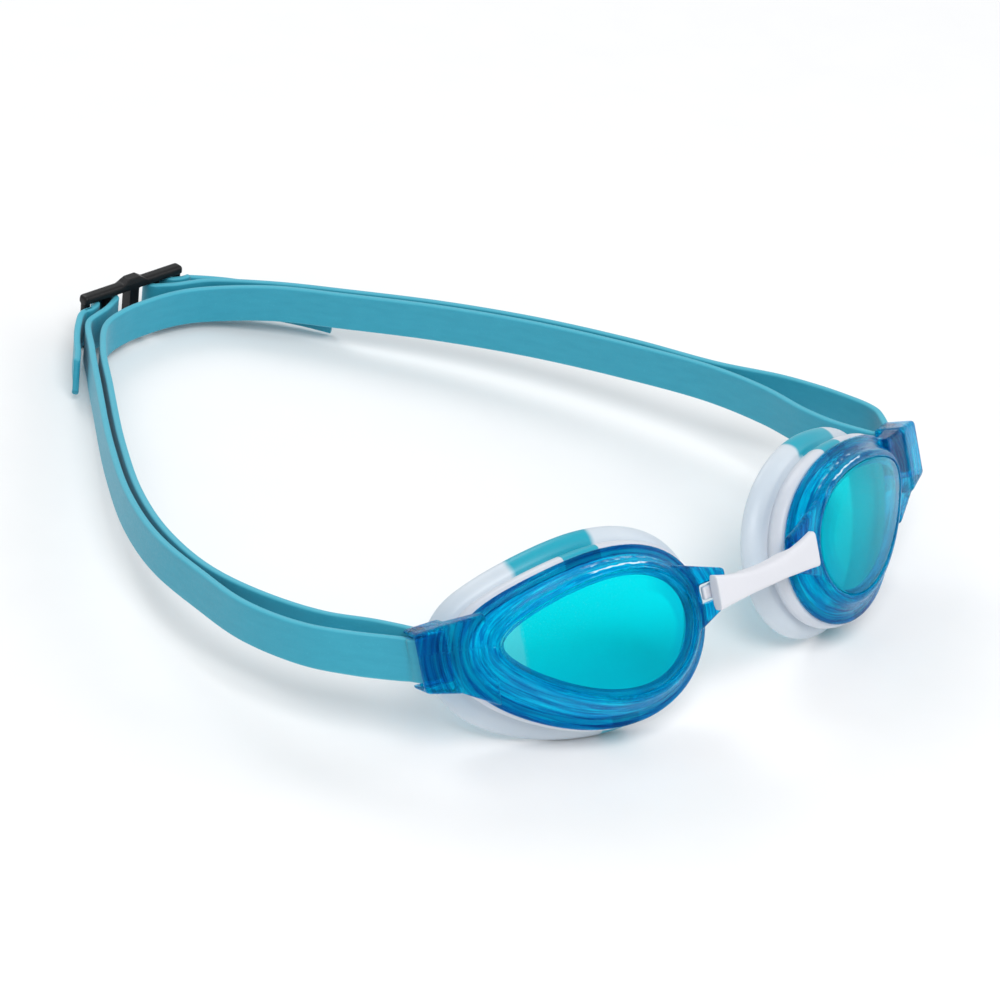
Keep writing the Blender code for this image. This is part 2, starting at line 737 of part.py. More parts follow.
def main():
    for obj in list(bpy.data.objects):
        bpy.data.objects.remove(obj, do_unlink=True)
    parts = bpy.data.collections.new("swim_goggles")
    tools = bpy.data.collections.new("cutters")
    bpy.context.scene.collection.children.link(parts)
    bpy.context.scene.collection.children.link(tools)
    tools.hide_render = True
    frame = build_frame(parts, tools)
    lens = build_lens(parts)
    gasket = build_gasket(parts)
    for obj in (frame, lens, gasket):
        reshape(obj, place, flips=True)
        mirrored(obj, obj.name.replace("right", "left"), parts)
    build_bridge(parts, tools)
    build_strap(parts)
    build_buckle(parts, tools)
    for obj in parts.objects:
        smooth_angle(obj)
    colour(parts)
    settle(parts)


main()
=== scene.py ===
"""Swim goggles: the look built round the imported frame.

Local sizes are in millimetres and become metres where a mesh is made.
u, v and d are an eyepiece's own outward, upward and backward directions.
"""
import math

import bmesh
import bpy
import numpy as np
from mathutils import Matrix, Vector


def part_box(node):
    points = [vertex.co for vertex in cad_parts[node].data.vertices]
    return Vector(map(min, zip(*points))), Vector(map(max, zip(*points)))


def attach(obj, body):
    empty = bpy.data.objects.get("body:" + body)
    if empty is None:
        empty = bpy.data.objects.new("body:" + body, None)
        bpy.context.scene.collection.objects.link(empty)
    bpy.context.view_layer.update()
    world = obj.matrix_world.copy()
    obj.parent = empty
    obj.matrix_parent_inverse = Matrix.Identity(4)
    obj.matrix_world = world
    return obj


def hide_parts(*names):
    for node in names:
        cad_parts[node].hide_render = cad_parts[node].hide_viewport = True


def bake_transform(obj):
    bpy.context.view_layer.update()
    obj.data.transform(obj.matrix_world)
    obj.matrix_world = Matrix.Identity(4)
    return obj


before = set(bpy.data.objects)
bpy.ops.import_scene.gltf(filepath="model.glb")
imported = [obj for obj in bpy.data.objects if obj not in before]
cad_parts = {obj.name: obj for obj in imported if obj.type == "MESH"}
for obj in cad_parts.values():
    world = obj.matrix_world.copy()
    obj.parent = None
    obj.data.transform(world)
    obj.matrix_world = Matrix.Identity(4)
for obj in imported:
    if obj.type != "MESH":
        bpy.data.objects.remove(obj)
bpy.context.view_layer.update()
MM = 0.001

# eyepiece outline and depths, as in the CAD
WINDOW_HALF_LENGTH = 21.5
WINDOW_HALF_HEIGHT = 12.0
WINDOW_TAPER = 0.35
WINDOW_CENTRE = (-3.1, -2.8)
WINDOW_TILT_DEG = 10.0
AROUND = 192
FLANGE_MEAN = 5.6
FLANGE_LOWER = 0.8
FLANGE_TEMPLE = 2.0
FLANGE_TIP = 1.0
FLANGE_NOSE = -0.4
FRAME_DEPTH = 5.4
CUP_DROP = 0.06
SEAT_DEPTH = 1.9
GASKET_DEPTH = 9.6
GASKET_NOSE_SHARE = 0.88
LIP_BELOW_TEMPLE = 2.4
LIP_ABOVE = 0.8
GAP = 0.3

# placing
EYE_X = 43.1
EYE_Z = 29.5
WRAP = math.radians(19.0)
PITCH = math.radians(24.0)
CURVE = 0.0045
CURVE_STRAIGHT_FROM = 15.0

# wing, post and nose bracket
WING_TIP_U = 35.3
WING_ROOT_U = 19.8
WING_V = 1.2
WING_FRONT_D = -0.7
WING_BACK_D = 7.2
WING_BLOCK_U = 27.4
WING_SLOT_U = 28.7
WING_HALF_HEIGHT = 6.1
POCKET_HALF_HEIGHT = 5.4
COVER_BACK_D = 0.8
POST_U = 32.6
POST_D = 5.0
POST_R = 1.4
BRACKET_V = -2.1
BRACKET_END_U = -33.5
BRACKET_FRONT_D = -0.3
BRACKET_THICKNESS = 1.7
BRIDGE_HALF = 15.0
BRIDGE_END_HEIGHT = 7.6
BRIDGE_MID_HEIGHT = 4.6
BRIDGE_TAB_THICKNESS = 2.5
BRIDGE_MID_THICKNESS = 4.2
BRIDGE_FRONT_Y = -9.0
VOXEL = 0.3

# strap and buckle
STRAP_WIDTH = 9.0
STRAP_THICKNESS = 1.5
STRAP_LOOP_R = POST_R + GAP + STRAP_THICKNESS / 2
STRAND_SPACING = 2.5
BUCKLE_X = -4.3
BUCKLE_BEHIND_POSTS = 167.0
BUCKLE_HALF_HEIGHT = 6.7
BUCKLE_BAR = 2.1
BUCKLE_END_SLOT = 4.3
BUCKLE_MID_SLOT = 5.0
BUCKLE_CENTRE = 2.6
BUCKLE_RAIL = 1.85
BUCKLE_THICKNESS = 3.0
BUCKLE_END_R = 1.1
BUCKLE_SPLIT_TOP = -0.4
BUCKLE_SPLIT = 1.8

# the strands' plan, measured from the wing posts
LEFT_OUTER = [(-87.6, 34.0), (-85.3, 19.5), (-80.4, 10.0)]
LEFT_INNER = [(-73.4, 10.5), (-78.8, 20.0), (-82.3, 34.0), (-83.0, 50.0), (-79.3, 67.0),
              (-71.8, 84.5), (-58.7, 106.0), (-41.5, 130.5), (-30.0, 146.5)]
RIGHT_OUTER = [(75.2, 35.0), (77.9, 20.0), (77.7, 10.0)]
RIGHT_INNER = [(65.9, 10.5), (65.6, 20.0), (67.4, 34.0), (66.7, 50.0), (61.4, 70.5),
               (53.6, 92.5), (43.5, 113.0), (31.5, 132.0), (21.5, 146.5)]


# ---------------------------------------------------------------- outlines and placing

def smoothstep(low, high, x):
    t = np.clip((x - low) / (high - low), 0, 1)
    return t * t * (3 - 2 * t)


def window_outline(count):
    """Closed teardrop outline, pointed end outward, and the angle of each point."""
    angle = np.linspace(0, 2 * np.pi, count, endpoint=False)
    along = WINDOW_CENTRE[0] + WINDOW_HALF_LENGTH * np.cos(angle)
    across = WINDOW_CENTRE[1] + WINDOW_HALF_HEIGHT * np.sin(angle) * (1 - WINDOW_TAPER * np.cos(angle))
    tilt = np.radians(WINDOW_TILT_DEG)
    u = along * np.cos(tilt) - across * np.sin(tilt)
    v = along * np.sin(tilt) + across * np.cos(tilt)
    return np.stack([u, v], axis=1), angle


def outline_normals(points):
    step = np.roll(points, -1, axis=0) - np.roll(points, 1, axis=0)
    step /= np.linalg.norm(step, axis=1)[:, None]
    return np.stack([step[:, 1], -step[:, 0]], axis=1)


def flange_offset(angle):
    tip = FLANGE_TIP * np.clip(np.cos(angle), 0, None) ** 3
    nose = FLANGE_NOSE * np.clip(-np.cos(angle), 0, None)
    temple = FLANGE_TEMPLE * np.clip(np.cos(angle + 0.9), 0, None) ** 2
    return FLANGE_MEAN - FLANGE_LOWER * np.sin(angle) + tip + nose + temple


def ring(share, extra, depth, count=AROUND):
    points, angle = window_outline(count)
    offset = share * flange_offset(angle) + extra
    flat = points + outline_normals(points) * offset[:, None]
    depths = np.broadcast_to(depth, len(flat))
    flat[:, 1] -= CUP_DROP * np.clip(depths, 0, None)
    return np.column_stack([flat, depths])


def bend(u):
    edge = CURVE_STRAIGHT_FROM
    straight = CURVE * edge ** 2 + 2 * CURVE * edge * (u - edge)
    return np.where(u > edge, straight, CURVE * u ** 2)


def pitch(points):
    x, y, z = points.T
    return np.column_stack([
        x,
        y * np.cos(PITCH) + z * np.sin(PITCH),
        EYE_Z + z * np.cos(PITCH) - y * np.sin(PITCH),
    ])


def place(local):
    """Right eyepiece's (u, v, d) to the CAD's space before its final shift, all in millimetres."""
    u, v, d = np.asarray(local, float).T
    back = d + bend(u)
    x = EYE_X + u * np.cos(WRAP) - back * np.sin(WRAP)
    y = u * np.sin(WRAP) + back * np.cos(WRAP)
    return pitch(np.column_stack([x, y, v]))


def post_world(side):
    point = place([[POST_U, WING_V, POST_D]])[0]
    return np.array([side * point[0], point[1], point[2]])


def cad_shift():
    """The final shift that the CAD gives every piece, read from the buckle's box."""
    low, high = (np.array(c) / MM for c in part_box("buckle"))
    middle_y = post_world(1)[1] + BUCKLE_BEHIND_POSTS
    return np.array([(low[0] + high[0]) / 2 - BUCKLE_X, (low[1] + high[1]) / 2 - middle_y, low[2]])


SHIFT = cad_shift()


# ---------------------------------------------------------------- mesh helpers

def skin(rings, closed_loop):
    count = len(rings[0])
    verts = np.concatenate(rings)
    faces = []
    pairs = len(rings) if closed_loop else len(rings) - 1
    for i in range(pairs):
        a = i * count
        b = ((i + 1) % len(rings)) * count
        for j in range(count):
            k = (j + 1) % count
            faces.append((a + j, a + k, b + k, b + j))
    if not closed_loop:
        faces.append(tuple(range(count)))
        faces.append(tuple((len(rings) - 1) * count + j for j in range(count)))
    return verts, faces


def block(low, high):
    verts = np.array(list(low) + list(high), float)
    faces = [(0, 1, 2, 3), (4, 5, 6, 7)]
    faces += [(j, (j + 1) % 4, 4 + (j + 1) % 4, 4 + j) for j in range(4)]
    return verts, faces


def box(low, high):
    (x0, y0, z0), (x1, y1, z1) = low, high
    first = [(x0, y0, z0), (x1, y0, z0), (x1, y1, z0), (x0, y1, z0)]
    return block(first, [(x, y, z1) for x, y, _ in first])


def rod(axis, centre, radius, start, end, sides=40):
    """Cylinder along the given axis number; centre holds the other two coordinates in order."""
    angle = np.linspace(0, 2 * np.pi, sides, endpoint=False)
    a, b = [k for k in range(3) if k != axis]
    rings = []
    for at in (start, end):
        circle = np.zeros((sides, 3))
        circle[:, axis] = at
        circle[:, a] = centre[0] + radius * np.cos(angle)
        circle[:, b] = centre[1] + radius * np.sin(angle)
        rings.append(circle)
    return skin(rings, False)


def mesh_object(name, verts, faces):
    mesh = bpy.data.meshes.new(name)
    mesh.from_pydata([tuple(float(c) for c in v) for v in verts], [], faces)
    bm = bmesh.new()
    bm.from_mesh(mesh)
    bmesh.ops.recalc_face_normals(bm, faces=bm.faces)
    bm.to_mesh(mesh)
    bm.free()
    obj = bpy.data.objects.new(name, mesh)
    bpy.context.scene.collection.objects.link(obj)
    return obj


def modifier(obj, kind, **settings):
    made = obj.modifiers.new(kind.title(), kind)
    for key, value in settings.items():
        setattr(made, key, value)


def solid(name, shape):
    verts, faces = shape
    return mesh_object(name, np.asarray(verts) * MM, faces)


def combine(obj, other, operation, spent):
    modifier(obj, "BOOLEAN", object=other, operation=operation, solver="EXACT")
    spent.append(other)


def baked(obj):
    bpy.context.view_layer.update()
    graph = bpy.context.evaluated_depsgraph_get()
    mesh = bpy.data.meshes.new_from_object(obj.evaluated_get(graph))
    obj.modifiers.clear()
    obj.data = mesh
    return obj


def discard(objects):
    for obj in objects:
        bpy.data.objects.remove(obj, do_unlink=True)


def rounded(obj, spent, voxel=VOXEL, smooth=5):
    """Remesh the joined solids into one even, softly rounded skin."""
    baked(obj)
    discard(spent)
    modifier(obj, "REMESH", mode="VOXEL", voxel_size=voxel * MM, use_smooth_shade=True)
    modifier(obj, "SMOOTH", factor=0.5, iterations=smooth)
    return baked(obj)


def coords_of(mesh):
    co = np.empty(len(mesh.vertices) * 3)
    mesh.vertices.foreach_get("co", co)
    return co.reshape(-1, 3)


def set_coords(mesh, co):
    mesh.vertices.foreach_set("co", np.ascontiguousarray(co, float).ravel())
    mesh.update()


def store(mesh, name, values):
    """Keep three numbers for each vertex for the materials to read."""
    layer = mesh.attributes.new(name, "FLOAT_VECTOR", "POINT")
    layer.data.foreach_set("vector", np.ascontiguousarray(values, dtype=np.float32).ravel())


def shade_smooth(mesh):
    mesh.polygons.foreach_set("use_smooth", np.ones(len(mesh.polygons), bool))
    mesh.update()


def rim_values(local):
    """Turns round the outline, distance outside the window and depth, for each point."""
    points, angle = window_outline(720)
    normals = outline_normals(points)
    out = np.empty((len(local), 3))
    for start in range(0, len(local), 4000):
        part = local[start:start + 4000]
        gap = part[:, None, :2] - points[None]
        near = (gap ** 2).sum(axis=2).argmin(axis=1)
        offset = part[:, :2] - points[near]
        out[start:start + 4000, 0] = angle[near] / (2 * np.pi)
        out[start:start + 4000, 1] = (offset * normals[near]).sum(axis=1)
        out[start:start + 4000, 2] = part[:, 2]
    return out


def eyepiece_pair(obj, kind):
    """Store local values, place the right piece, and mirror it for the left."""
    mesh = obj.data
    local = coords_of(mesh) / MM
    store(mesh, "local", local)
    store(mesh, "rim", rim_values(local))
    shade_smooth(mesh)
    twin = mesh.copy()
    world = place(local)
    set_coords(mesh, (world + SHIFT) * MM)
    mesh.flip_normals()
    set_coords(twin, (world * [-1, 1, 1] + SHIFT) * MM)
    left = bpy.data.objects.new("left_" + kind, twin)
    bpy.context.scene.collection.objects.link(left)
    obj.name = "right_" + kind
    return [left, obj]


# ---------------------------------------------------------------- eyepieces

def frame_solid():
    wall = [(0, 0.15, 0), (0, 1.0, 0), (0, 1.55, 0.25), (0.06, 1.6, 0.9), (0.2, 1.0, 1.3)]
    wall += [(0.28, 1.0, 2.1), (0.42, 0.5, 2.5), (0.5, 0.6, 3.2), (0.66, 0.15, 3.6)]
    flange = [(0.8, 0, 3.9), (1, -0.5, 4.0), (1, -0.1, 4.3), (1, 0, 4.7), (1, -0.3, FRAME_DEPTH)]
    inner = [(0.48, 0, FRAME_DEPTH), (0.38, 0, 4.8), (0, 0.75, SEAT_DEPTH + 1.0)]
    seat = [(0, -1.3, SEAT_DEPTH + 0.9), (0, -1.3, SEAT_DEPTH), (0, 0.15, SEAT_DEPTH)]
    return skin([ring(*spec) for spec in wall + flange + inner + seat], True)


def cup_core():
    front = [(0, 1.25, -6), (0, 1.25, 1.9), (0.12, 1.1, 2.9), (0.62, 0, 4.7), (0.7, 0, 12)]
    return skin([ring(*spec) for spec in front], False)


def wing_end(u, low, high, back, front):
    bottom = WING_V + low
    top = WING_V + high
    return [(u, bottom, back), (u, top, back), (u, top, front), (u, bottom, front)]


def wing_web():
    back = FRAME_DEPTH - 0.45
    half = WING_HALF_HEIGHT
    root = wing_end(WING_ROOT_U, -13.2, 6.1, back, WING_FRONT_D + 2.6)
    return block(root, wing_end(WING_BLOCK_U + 0.7, -half - 1.85, half + 0.1, back, WING_FRONT_D + 1.15))


def wing_block():
    h = WING_HALF_HEIGHT
    root = wing_end(WING_BLOCK_U, -h - 2.2, h + 0.3, WING_BACK_D, WING_FRONT_D + 0.9)
    return block(root, wing_end(WING_TIP_U, -h, h, WING_BACK_D - 0.4, WING_FRONT_D))


def bracket_block():
    front = BRACKET_FRONT_D
    back = front + BRACKET_THICKNESS
    v = BRACKET_V
    root = [(-21.0, v - 9.0, back + 0.6), (-21.0, v + 8.0, back + 0.6),
            (-21.0, v + 8.0, front + 0.6), (-21.0, v - 9.0, front + 0.6)]
    tip = [(BRACKET_END_U, v - 3.6, back), (BRACKET_END_U, v + 3.6, back),
           (BRACKET_END_U, v + 3.6, front), (BRACKET_END_U, v - 3.6, front)]
    return block(root, tip)


def build_frames():
    obj = solid("frame", frame_solid())
    spent = []
    core = solid("cup_core", cup_core())
    web = solid("wing_web", wing_web())
    modifier(web, "BEVEL", width=0.5 * MM, segments=2, limit_method="ANGLE")
    combine(web, core, "DIFFERENCE", [])
    combine(obj, web, "UNION", spent)
    wing = solid("wing_block", wing_block())
    modifier(wing, "BEVEL", width=0.8 * MM, segments=3, limit_method="ANGLE")
    combine(obj, wing, "UNION", spent)
    half = POCKET_HALF_HEIGHT
    pocket = box((WING_SLOT_U, WING_V - half, COVER_BACK_D), (42, WING_V + half, 14))
    combine(obj, solid("wing_pocket", pocket), "DIFFERENCE", spent)
    post = rod(1, (POST_U, POST_D), POST_R, WING_V - half - 0.5, WING_V + half + 0.5)
    combine(obj, solid("post", post), "UNION", spent)
    bracket = solid("bracket", bracket_block())
    modifier(bracket, "BEVEL", width=0.6 * MM, segments=2, limit_method="ANGLE")
    combine(bracket, core, "DIFFERENCE", [])
    combine(obj, bracket, "UNION", spent)
    hole = box((-32.2, BRACKET_V - 2.1, -4), (-26.6, BRACKET_V + 2.1, 4))
    combine(obj, solid("bracket_hole", hole), "DIFFERENCE", spent)
    spent.append(core)
    rounded(obj, spent)
    return eyepiece_pair(obj, "clear_frame")


def build_windows():
    """A gently domed plate with softened edges, its middle closed by a fine fan."""
    base = ring(0, -0.05, 0)
    centre = base[:, :2].mean(axis=0)
    back = SEAT_DEPTH - GAP / 2

    def side(depth_edge, depth_centre, shares):
        rings = []
        for share in shares:
            flat = centre + (base[:, :2] - centre) * share
            depth = depth_centre + (depth_edge - depth_centre) * share ** 2
            rings.append(np.column_stack([flat, np.full(len(flat), depth)]))
        return rings

    shares = np.linspace(0.04, 0.985, 26)
    front = side(0.12, -0.4, shares)
    behind = side(back - 0.05, back - 0.5, shares[::-1])
    edge = [ring(0, -0.08, 0.2), ring(0, -0.05, 0.45), ring(0, -0.05, back - 0.4), ring(0, -0.1, back - 0.15)]
    obj = solid("window", skin(front + edge + behind, False))
    return eyepiece_pair(obj, "window")


def gasket_profile():
    """Closed section: outward offset and depth, a full band, a groove and a soft flared lip."""
    outside = [(-2.6, 0.0), (-1.2, -0.05), (-0.2, 0.15), (0.3, 0.8), (0.5, 1.8), (0.35, 2.9), (-0.25, 3.9),
               (-1.0, 4.45), (-1.15, 4.8), (-0.7, 5.15), (0.3, 5.4), (1.2, 6.1), (1.8, 7.1)]
    outside += [(2.1, 8.1), (2.0, 9.0)]
    edge = [(1.55, 9.5), (0.9, GASKET_DEPTH), (0.4, 9.35)]
    inside = [(-0.4, 8.7), (-1.3, 7.8), (-2.0, 6.8), (-2.45, 5.6), (-2.7, 4.2), (-2.75, 2.9),
              (-2.6, 1.8), (-2.9, 0.8)]
    return np.array(outside + edge + inside)


def rounded_loop(points, factor=3):
    """Closed Catmull-Rom curve through the points."""
    out = []
    count = len(points)
    for i in range(count):
        p0, p1, p2, p3 = (points[(i + k - 1) % count] for k in range(4))
        for t in np.linspace(0, 1, factor, endpoint=False):
            out.append(0.5 * (2 * p1 + (p2 - p0) * t + (2 * p0 - 5 * p1 + 4 * p2 - p3) * t ** 2
                              + (3 * p1 - p0 - 3 * p2 + p3) * t ** 3))
    return np.array(out)


def build_gaskets():
    _, angle = window_outline(AROUND)
    share = 1 - (1 - GASKET_NOSE_SHARE) * np.clip(-np.cos(angle), 0, None) ** 1.5
    start = FRAME_DEPTH + 0.05
    temple = LIP_BELOW_TEMPLE * np.clip(np.cos(angle + 0.75), 0, None) ** 3
    above = LIP_ABOVE * np.clip(np.sin(angle), 0, None)
    rings = []
    for extra, depth in rounded_loop(gasket_profile()):
        flare = np.clip((depth - 3.0) / 4.0, 0, 1) * (temple + above)
        rings.append(ring(1, extra + flare, start + depth * share))
    obj = solid("gasket", skin(rings, True))
    return eyepiece_pair(obj, "soft_gasket")


# ---------------------------------------------------------------- nose bridge

def bridge_section(x, points=36):
    share = min(abs(x) / BRIDGE_HALF, 1.0)
    height = BRIDGE_MID_HEIGHT + (BRIDGE_END_HEIGHT - BRIDGE_MID_HEIGHT) * share ** 2.2
    tab = np.clip((abs(x) - 5.0) / 4.0, 0, 1)
    tab = tab * tab * (3 - 2 * tab)
    thick = BRIDGE_MID_THICKNESS + (BRIDGE_TAB_THICKNESS - BRIDGE_MID_THICKNESS) * tab
    front = BRIDGE_FRONT_Y - 0.4 * (1 - share)
    angle = np.linspace(0, 2 * np.pi, points, endpoint=False) + np.pi / points
    power = 0.45
    cy = np.sign(np.cos(angle)) * np.abs(np.cos(angle)) ** power * thick / 2
    cz = np.sign(np.sin(angle)) * np.abs(np.sin(angle)) ** power * height / 2
    z = BRACKET_V - 0.9 * (1 - share ** 2) + cz
    return np.column_stack([np.full(points, x), front + thick / 2 + cy, z])


def build_bridge():
    stations = np.linspace(-BRIDGE_HALF, BRIDGE_HALF, 61)
    obj = solid("bridge", skin([bridge_section(x) for x in stations], False))
    spent = []
    for side in (-1, 1):
        near, mid, far = sorted((side * 11.95, side * 13.95, side * 16.05))
        low, high = (near, mid) if side > 0 else (mid, far)
        peg = box((low, -7.6, BRACKET_V - 1.6), (high, -4.6, BRACKET_V + 1.6))
        combine(obj, solid("peg", peg), "UNION", spent)
        toe = box((near, -5.7, BRACKET_V - 1.4), (far, -4.6, BRACKET_V + 1.4))
        combine(obj, solid("toe", toe), "UNION", spent)
    rounded(obj, spent, 0.22, 6)
    mesh = obj.data
    set_coords(mesh, (pitch(coords_of(mesh) / MM) + SHIFT) * MM)
    obj.name = "bridge"
    return obj


# ---------------------------------------------------------------- strap

def spline(points, spacing):
    """Centripetal curve through the points, resampled at even steps."""
    pts = np.asarray(points, float)
    ends = np.vstack([2 * pts[0] - pts[1], pts, 2 * pts[-1] - pts[-2]])
    out = []
    for i in range(1, len(ends) - 2):
        p0, p1, p2, p3 = ends[i - 1:i + 3]
        t0 = 0.0
        t1 = t0 + np.linalg.norm(p1 - p0) ** 0.5
        t2 = t1 + np.linalg.norm(p2 - p1) ** 0.5
        t3 = t2 + np.linalg.norm(p3 - p2) ** 0.5
        t = np.linspace(t1, t2, 24, endpoint=False)[:, None]
        a1 = (t1 - t) / (t1 - t0) * p0 + (t - t0) / (t1 - t0) * p1
        a2 = (t2 - t) / (t2 - t1) * p1 + (t - t1) / (t2 - t1) * p2
        a3 = (t3 - t) / (t3 - t2) * p2 + (t - t2) / (t3 - t2) * p3
        b1 = (t2 - t) / (t2 - t0) * a1 + (t - t0) / (t2 - t0) * a2
        b2 = (t3 - t) / (t3 - t1) * a2 + (t - t1) / (t3 - t1) * a3
        out.append((t2 - t) / (t2 - t1) * b1 + (t - t1) / (t2 - t1) * b2)
    dense = np.vstack(out + [pts[-1:]])
    length = np.concatenate([[0], np.cumsum(np.linalg.norm(np.diff(dense, axis=0), axis=1))])
    at = np.linspace(0, length[-1], max(int(length[-1] / spacing), 4) + 1)
    return np.column_stack([np.interp(at, length, dense[:, k]) for k in range(3)])


def lean(points):
    share = smoothstep(4, 54, points[:, 1] - post_world(1)[1])
    angle = PITCH * (1 - share)
    return np.column_stack([np.zeros(len(points)), np.sin(angle), np.cos(angle)])


def band_section():
    """Rounded rectangle with a shallow dished middle on both faces."""
    half_t = STRAP_THICKNESS / 2
    half_w = STRAP_WIDTH / 2
    r = 0.5
    out = []
    corners = [(1, 1, 0), (-1, 1, 90), (-1, -1, 180), (1, -1, 270)]
    for st, sw, start in corners:
        for turn in (0, 22.5, 45, 67.5, 90):
            a = np.radians(start + turn)
            out.append((st * (half_t - r) + r * np.cos(a), sw * (half_w - r) + r * np.sin(a)))
        faces = (0.7, 0.35, 0, -0.35, -0.7)
        if start == 90:
            out += [(-half_t + 0.06, w * half_w) for w in faces]
        if start == 270:
            out += [(half_t - 0.06, -w * half_w) for w in faces]
    return np.array(out)


def band(name, path):
    tangent = np.gradient(path, axis=0)
    tangent /= np.linalg.norm(tangent, axis=1)[:, None]
    width = lean(path)
    width -= tangent * (width * tangent).sum(axis=1)[:, None]
    width /= np.linalg.norm(width, axis=1)[:, None]
    across = np.cross(tangent, width)
    section = band_section()
    rings = [c + section[:, :1] * a + section[:, 1:] * w for c, w, a in zip(path, width, across)]
    verts, faces = skin(rings, False)
    obj = mesh_object(name, (verts + SHIFT) * MM, faces)
    along = np.concatenate([[0], np.cumsum(np.linalg.norm(np.diff(path, axis=0), axis=1))])
    values = np.column_stack([np.repeat(along, len(section)), np.tile(section[:, 1], len(path)),
                              np.tile(section[:, 0], len(path))])
    store(obj.data, "band", values)
    shade_smooth(obj.data)
    return obj


def height_at(y):
    top = post_world(1)
    share = (y - top[1]) / BUCKLE_BEHIND_POSTS
    return top[2] + (BUCKLE_HALF_HEIGHT - top[2]) * share


def on_slope(points):
    y_post = post_world(1)[1]
    return [np.array([x, y + y_post, height_at(y + y_post)]) for x, y in points]


def loop_points(side):
    turn = []
    for degrees in (-10, 25, 60, 95, 130, 165, 200):
        a = np.radians(degrees)
        point = place([[POST_U + STRAP_LOOP_R * np.cos(a), WING_V, POST_D - STRAP_LOOP_R * np.sin(a)]])[0]
        turn.append(np.array([side * point[0], point[1], point[2]]))
    return turn


def outer_points(side, outer, inner):
    pts = np.array(inner)
    step = np.gradient(pts, axis=0)
    step /= np.linalg.norm(step, axis=1)[:, None]
    out = np.column_stack([step[:, 1], -step[:, 0]]) * side
    beside = pts + out * STRAND_SPACING
    return [tuple(p) for p in beside[:2:-1]] + outer


def buckle_points(side, points):
    middle = post_world(1)[1] + BUCKLE_BEHIND_POSTS
    return [np.array([BUCKLE_X + side * x, middle + y, BUCKLE_HALF_HEIGHT]) for x, y in points]


def bar_centre():
    return BUCKLE_CENTRE / 2 + BUCKLE_MID_SLOT + BUCKLE_BAR / 2


def half_length():
    return BUCKLE_CENTRE / 2 + BUCKLE_MID_SLOT + 2 * BUCKLE_BAR + BUCKLE_END_SLOT


def weave(side):
    bar = bar_centre()
    r = BUCKLE_BAR / 2 + GAP + STRAP_THICKNESS / 2 + 0.1
    end = half_length()
    approach = [(end + 3.2, -6.6), (end - 0.6, -5.1), (end - 4.2, -4.0)]
    wrap = [(bar - r * np.cos(np.radians(a)), r * np.sin(np.radians(a))) for a in (-80, -45, 0, 45, 85)]
    out = [(bar + 2.4, 1.7), (end - 3.5, -1.2), (end - 1.0, -2.3), (end + 0.9, -2.35)]
    return buckle_points(side, approach + wrap + out)


def tail_points(side):
    end = half_length()
    if side < 0:
        plan = [(end - 1.0, -2.3), (end + 1.7, -2.5), (end + 6.2, -6.3), (end + 10.8, -11.4),
                (end + 15.0, -16.8), (end + 17.5, -19.5)]
    else:
        plan = [(end - 1.0, -2.3), (end + 1.7, -2.5), (end + 7.5, -6.8), (end + 14.0, -14.0),
                (end + 19.5, -21.5), (end + 23.5, -28.5)]
    points = buckle_points(side, plan)
    if side < 0:
        return points
    droop = np.linspace(0, 1, len(points)) ** 0.7 * 1.5
    return [p - np.array([0, 0, fall]) for p, fall in zip(points, droop)]


def build_strap():
    """One doubled band from one end at the buckle round both wings to the other."""
    halves = []
    for side, near_wing, inner in ((-1, LEFT_OUTER, LEFT_INNER), (1, RIGHT_OUTER, RIGHT_INNER)):
        outer = outer_points(side, near_wing, inner)
        halves.append(weave(side)[::-1] + on_slope(outer) + loop_points(side) + on_slope(inner))
    end = half_length()
    plan = [(-end, -9.4), (-8.0, -7.2), (0, -6.6), (8.0, -7.2), (end, -9.4)]
    whole = halves[0] + buckle_points(1, plan) + halves[1][::-1]
    strap = band("strap_band", spline(whole, 0.8))
    tails = [band("strap_end_" + name, spline(tail_points(side), 0.8))
             for name, side in (("left", -1), ("right", 1))]
    return strap, tails


# ---------------------------------------------------------------- buckle

def build_buckle():
    end = half_length()
    half_t = BUCKLE_THICKNESS / 2
    h = BUCKLE_HALF_HEIGHT
    obj = solid("rear_buckle", box((-end, -half_t, -h), (end, half_t, h)))
    modifier(obj, "BEVEL", width=0.9 * MM, segments=4, limit_method="ANGLE")
    spent = []
    slot_h = h - BUCKLE_RAIL
    reach = slot_h + 0.6
    for side in (-1, 1):
        x0, x1 = sorted((side * BUCKLE_CENTRE / 2, side * (end + 1)))
        combine(obj, solid("opening", box((x0, -4, -slot_h), (x1, 4, slot_h))), "DIFFERENCE", spent)
        at = end - BUCKLE_END_R
        bars = [(bar_centre(), BUCKLE_BAR / 2, -reach, reach), (at, BUCKLE_END_R, BUCKLE_SPLIT_TOP, reach),
                (at, BUCKLE_END_R, -reach, BUCKLE_SPLIT_TOP - BUCKLE_SPLIT)]
        for x, radius, low, high in bars:
            combine(obj, solid("bar", rod(2, (side * x, 0), radius, low, high)), "UNION", spent)
    top = h - 0.5
    crown = block([(-4.0, -half_t, top), (4.0, -half_t, top), (4.0, half_t, top), (-4.0, half_t, top)],
                  [(-1.6, -half_t + 0.3, h + 1.0), (1.6, -half_t + 0.3, h + 1.0),
                   (1.6, half_t - 0.3, h + 1.0), (-1.6, half_t - 0.3, h + 1.0)])
    combine(obj, solid("crown", crown), "UNION", spent)
    rounded(obj, spent, 0.16, 4)
    middle = post_world(1)[1] + BUCKLE_BEHIND_POSTS
    set_coords(obj.data, coords_of(obj.data) + (np.array([BUCKLE_X, middle, h]) + SHIFT) * MM)
    return obj


# ---------------------------------------------------------------- materials

